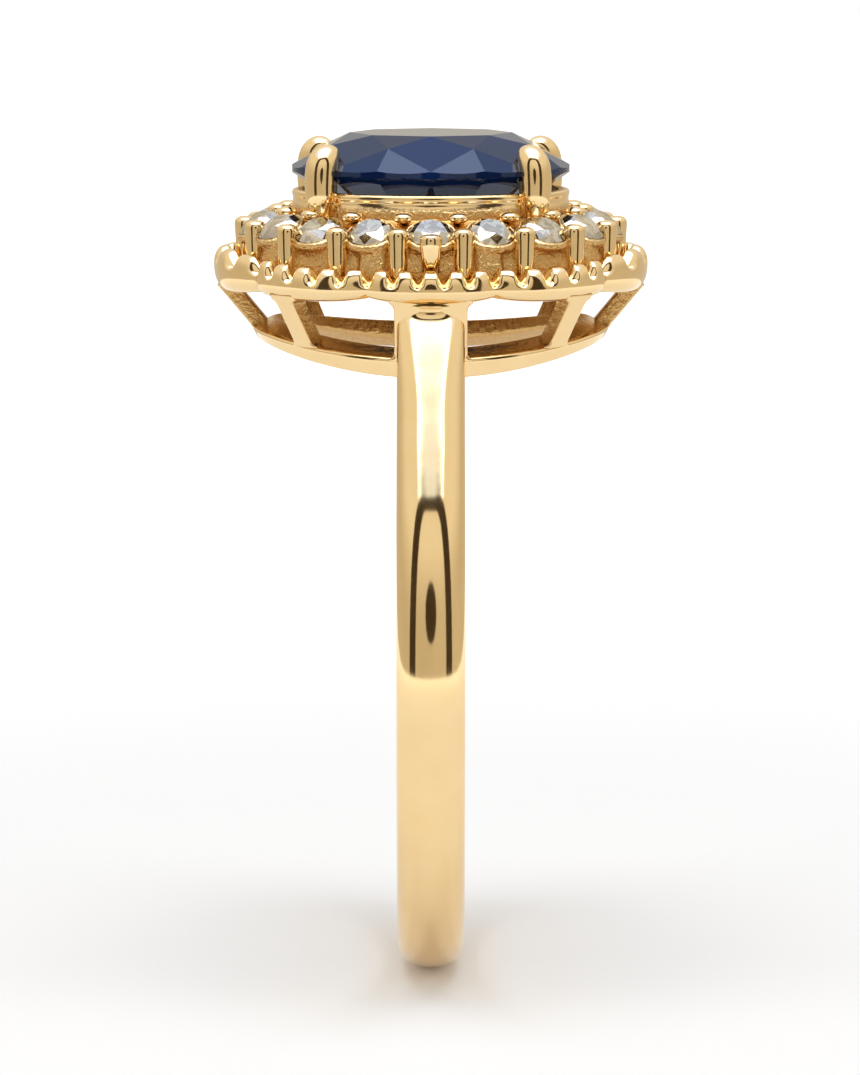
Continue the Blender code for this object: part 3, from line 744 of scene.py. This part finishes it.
# straight posts with rounded heads between the stones, and low oval beads on the inner side,
# each bead's radius falling as the cosine of its height
def makeProngs():
    half = np.pi / melee["count"]
    rings, beadRings = prong["rings"], prong["beadRings"]
    radii = np.clip(smoothPath(np.array(prong["radii"])[:, None], rings)[:, 0], 0.01, None)
    spots = [(t + half, "path") for t in meleeAngles()]
    spots += [(np.pi / 2, "endPath"), (3 * np.pi / 2, "endPath")]
    posts = []
    for t, route in spots:
        foot = ovalPoint(haloOval, t)
        posts.append(bar(foot, ovalPoint(haloOval, t, 1.0) - foot, smoothPath(prong[route], rings),
                         radii, prong["sides"]))
    settle(tubesSurface("haloProngs", posts), "claw", "setting_gold", "halo_setting")
    wide, tall = prong["beadRadius"]
    lift = np.linspace(-0.5, 0.5, beadRings) * np.pi
    route = np.stack([np.full(beadRings, prong["beadOut"]), prong["beadHeight"] + tall * np.sin(lift)], axis=1)
    swell = np.maximum(wide * np.cos(lift), 0.005)
    beads = []
    for t in meleeAngles() + half:
        foot = ovalPoint(haloOval, t)
        beads.append(bar(foot, ovalPoint(haloOval, t, 1.0) - foot, route, swell, prong["beadSides"]))
    settle(tubesSurface("haloBeads", beads), "claw", "setting_gold", "halo_setting")
    print("prongs and beads done")


makeSeatPlate()
makeProngs()

# ---------- collar and claws ----------

collar = {
    # outward from the girdle and height, up the outside and down the inside
    "section": [(0.05, 23.12), (0.02, 23.48), (-0.03, 23.80), (0.00, 23.95), (-0.02, 24.05),
                (-0.12, 24.09), (-0.26, 24.08), (-0.38, 23.96), (-0.62, 23.12)],
    "stations": 300, "around": 48,
}


# oval band with a rounded top rim; its inner side slopes away under the stone
def makeCollar():
    angles = np.arange(collar["stations"]) * turn / collar["stations"]
    section = smoothPath(collar["section"], collar["around"])
    shape = (len(angles), 1)
    piece = ovalSweep("stoneCollar", centreStone["axes"], angles,
                      np.tile(section[:, 0], shape), np.tile(section[:, 1], shape))
    settle(piece, "collar", "setting_gold", "centre_collar")
    print("collar done")


claws = {
    "names": {"claw_front_left": (-3.22, -1), "claw_front_right": (3.06, -1),
              "claw_back_left": (-3.52, 1), "claw_back_right": (3.46, 1)},
    "radius": 0.50,
    "path": [(0.10, 23.38), (0.12, 23.64), (0.14, 23.95), (0.15, 24.40), (0.12, 24.80), (0.03, 25.02),
             (-0.14, 25.17), (-0.34, 25.22), (-0.48, 25.19), (-0.56, 25.14)],
    "shape": [0.62, 0.80, 0.95, 1.0, 1.0, 0.97, 0.86, 0.62, 0.34, 0.05],
    "rings": 48, "sides": 32,
}


# thick round claw whose radius falls to a blunt tip over the crown
def makeClaws():
    path = smoothPath(claws["path"], claws["rings"])
    shape = smoothPath(np.array(claws["shape"])[:, None], claws["rings"])[:, 0]
    radii = np.clip(shape, 0.03, None) * claws["radius"]
    for name, (x, side) in claws["names"].items():
        t = side * np.arccos(x / centreStone["axes"][0])
        foot = ovalPoint(centreStone["axes"], t)
        outward = ovalPoint(centreStone["axes"], t, 1.0) - foot
        points = bar(foot, outward, path, radii, claws["sides"])
        piece = gridSurface(name.replace("claw_", "claw.").replace("_", ""), points, False)
        settle(piece, "claw", "claw_gold", name)
    print("claws done")


makeCollar()
makeClaws()

# ---------- studio ----------

studio = {
    "distance": 190.0, "height": 38.5, "aim": 13.29, "focal": 260.0, "side": -0.025,   # camera
    "floorHalf": 600.0,
    "floorGlow": (24, 150, 0.04, 0.62),   # from and to this far from the middle, and how bright
    "middle": 11.0,                       # height that the surround is centred on
    "wall": (76, -5.5, 51.0),             # radius, lowest and highest elevation in degrees
    "archRadius": 75, "archFoot": -5, "archSquareness": 4,
    "lens": (74, 15.5, 0.1, 10.0),        # radius, elevation, and its inner and outer half size
    "paperClimb": (25, 70),               # heights between which the surround brightens
    "tan": (0.57, 0.52, 0.43), "pale": (0.92, 0.88, 0.80), "dark": (0.05, 0.035, 0.02),
    "arch": ((32, 55), (50, 60)),   # half width and height of its inside and outside, degrees
}


# open sheet over a (rows, columns, 3) grid in millimetres, its columns joined round where asked
def sheet(name, points, closed):
    rows, columns, _ = points.shape
    index = np.arange(rows * columns).reshape(rows, columns)
    after = np.roll(index, -1, axis=1)
    quads = np.stack([index[:-1], after[:-1], after[1:], index[1:]], axis=-1)
    quads = quads if closed else quads[:, :-1]
    mesh = bpy.data.meshes.new(name)
    mesh.from_pydata((points.reshape(-1, 3) * mm).tolist(), [], quads.reshape(-1, 4).tolist())
    thing = bpy.data.objects.new(name, mesh)
    bpy.context.scene.collection.objects.link(thing)
    return thing


# pale matt floor that glows softly away from the ring, so that it ends in white
def makeFloor():
    half = studio["floorHalf"]
    grid = np.linspace(-half, half, 9)
    x, y = np.meshgrid(grid, grid)
    floor = sheet("floor", np.stack([x, y, np.full_like(x, -0.01)], axis=-1), False)
    finish, tree, place = newFinish("paleFloor")
    mottle = make(tree, "ShaderNodeTexNoise", None, {"Vector": place, "Scale": 60.0, "Detail": 3.0})
    colour = make(tree, "ShaderNodeMix", {"data_type": "RGBA"},
                  {0: mottle, 6: (0.93, 0.93, 0.93, 1), 7: (0.95, 0.95, 0.945, 1)}, 2)
    away = make(tree, "ShaderNodeVectorMath", {"operation": "LENGTH"}, {0: place}, 1)
    near, far, dim, bright = studio["floorGlow"]
    glow = make(tree, "ShaderNodeMapRange", {"interpolation_type": "SMOOTHSTEP"},
                {0: away, 1: near * mm, 2: far * mm, 3: dim, 4: bright})
    closeFinish(tree, {"Base Color": colour, "Roughness": 0.9, "Emission Color": glow,
                       "Emission Strength": 1.0})
    floor.data.materials.append(finish)


# white rectangular light at one point, facing another
def softbox(name, place, aim, size, power):
    light = bpy.data.lights.new(name, "AREA")
    light.shape = "RECTANGLE"
    light.size, light.size_y = size[0] * mm, size[1] * mm
    light.energy = power
    lamp = bpy.data.objects.new(name, light)
    bpy.context.scene.collection.objects.link(lamp)
    pointAt(lamp, place, aim)


# turns a camera or lamp, which look along -Z, from one point towards another
def pointAt(thing, place, aim):
    thing.location = Vector(place) * mm
    thing.rotation_euler = (Vector(aim) - Vector(place)).to_track_quat("-Z", "Y").to_euler()


# sheet that only mirrors see; it brightens from `colour` to `upper` with height
def mirrorSheet(name, points, closed, colour, upper):
    thing = sheet(name, points, closed)
    thing.visible_camera = thing.visible_diffuse = thing.visible_shadow = False
    finish, tree, place = newFinish(name + "Paper")
    mottle = make(tree, "ShaderNodeTexNoise", None, {"Vector": place, "Scale": 18.0, "Detail": 2.0})
    paler = tuple(1.25 * part for part in colour)
    lower = make(tree, "ShaderNodeMix", {"data_type": "RGBA"},
                 {0: mottle, 6: (*colour, 1), 7: (*paler, 1)}, 2)
    height = make(tree, "ShaderNodeSeparateXYZ", None, {0: place}, 2)
    start, end = studio["paperClimb"]
    climb = make(tree, "ShaderNodeMapRange", {"interpolation_type": "SMOOTHSTEP"},
                 {0: height, 1: start * mm, 2: end * mm, 3: 0.0, 4: 1.0})
    shade = make(tree, "ShaderNodeMix", {"data_type": "RGBA"},
                 {0: climb, 6: lower, 7: (*upper, 1)}, 2)
    closeFinish(tree, {"Base Color": (0, 0, 0, 1), "Roughness": 1.0, "Specular IOR Level": 0.0,
                       "Emission Color": shade, "Emission Strength": 1.0})
    thing.data.materials.append(finish)


# points on an upright cylinder round the ring, by compass angle from the front and by
# elevation from the band's middle, both in degrees: z = middle + radius tan(elevation)
def roundRing(radius, azimuth, elevation):
    azimuth, elevation = np.radians(azimuth), np.radians(elevation)
    z = studio["middle"] + radius * np.tan(elevation)
    return np.stack([radius * np.sin(azimuth), -radius * np.cos(azimuth), np.maximum(z, 0.1)], axis=-1)


# white seen by the camera, an even grey for soft light, and for mirrors a tan surround with a
# dark arch and lens under a bright overhead
def makeStudio():
    world = bpy.data.worlds.new("studio")
    bpy.context.scene.world = world
    world.use_nodes = True
    tree = world.node_tree
    tree.nodes.clear()
    toCamera = make(tree, "ShaderNodeLightPath", output=0)
    softLight = make(tree, "ShaderNodeLightPath", output=2)
    way = make(tree, "ShaderNodeTexCoord", output=0)
    up = make(tree, "ShaderNodeSeparateXYZ", None, {0: way}, 2)
    room = make(tree, "ShaderNodeValToRGB", {"stops": [
        (0.0, (0.80, 0.80, 0.80)), (0.60, (0.80, 0.78, 0.74)), (0.80, (0.95, 0.92, 0.86)),
        (0.88, (1.0, 1.02, 1.08)), (0.93, (1.05, 1.2, 1.55)), (1.0, (1.2, 1.35, 2.05))]},
        {0: up * 0.5 + 0.5})
    lit = make(tree, "ShaderNodeMix", {"data_type": "RGBA"},
               {0: softLight, 6: room, 7: (0.5, 0.5, 0.5, 1)}, 2)
    seen = make(tree, "ShaderNodeMix", {"data_type": "RGBA"},
                {0: toCamera, 6: lit, 7: (1, 1, 1, 1)}, 2)
    light = make(tree, "ShaderNodeBackground", None, {"Color": seen, "Strength": 1.0})
    output = tree.nodes.new("ShaderNodeOutputWorld")
    tree.links.new(light.socket, output.inputs["Surface"])
    softbox("topLight", (0, -40, 260), (0, 0, 15), (260, 200), 0.36)
    softbox("leftLight", (-220, -120, 120), (0, 0, 12), (120, 220), 0.07)
    softbox("rightLight", (220, -120, 120), (0, 0, 12), (120, 220), 0.07)
    wallAngles = np.arange(96) * 3.75
    radius, *levels = studio["wall"]
    wall = np.stack([roundRing(radius, wallAngles, np.full(96, level)) for level in levels])
    mirrorSheet("roomWall", wall, True, studio["tan"], studio["pale"])
    arch = np.linspace(0, np.pi, 60)
    across, rise = squircle(arch, studio["archSquareness"])
    frame = np.stack([roundRing(studio["archRadius"], wide * across, studio["archFoot"] + tall * rise)
                      for wide, tall in studio["arch"]])
    mirrorSheet("roomArch", frame, False, studio["dark"], studio["dark"])
    lens = np.arange(30) * turn / 30
    radius, middle, *sizes = studio["lens"]
    disc = np.stack([roundRing(radius, size * np.cos(lens), middle + size * np.sin(lens))
                     for size in sizes])
    mirrorSheet("lens", disc, True, studio["dark"], studio["dark"])
    bpy.context.scene.view_settings.view_transform = "Standard"


# the camera looks a little down on the ring from the front
def makeCamera():
    lens = bpy.data.cameras.new("camera")
    lens.sensor_fit = "HORIZONTAL"
    lens.sensor_width = 36.0
    lens.lens = studio["focal"]
    lens.clip_start, lens.clip_end = 0.005, 10.0
    camera = bpy.data.objects.new("camera", lens)
    bpy.context.scene.collection.objects.link(camera)
    side = studio["side"]
    pointAt(camera, (side, -studio["distance"], studio["height"]), (side, 0, studio["aim"]))
    bpy.context.scene.camera = camera


makeFloor()
makeStudio()
makeCamera()
print("studio done")
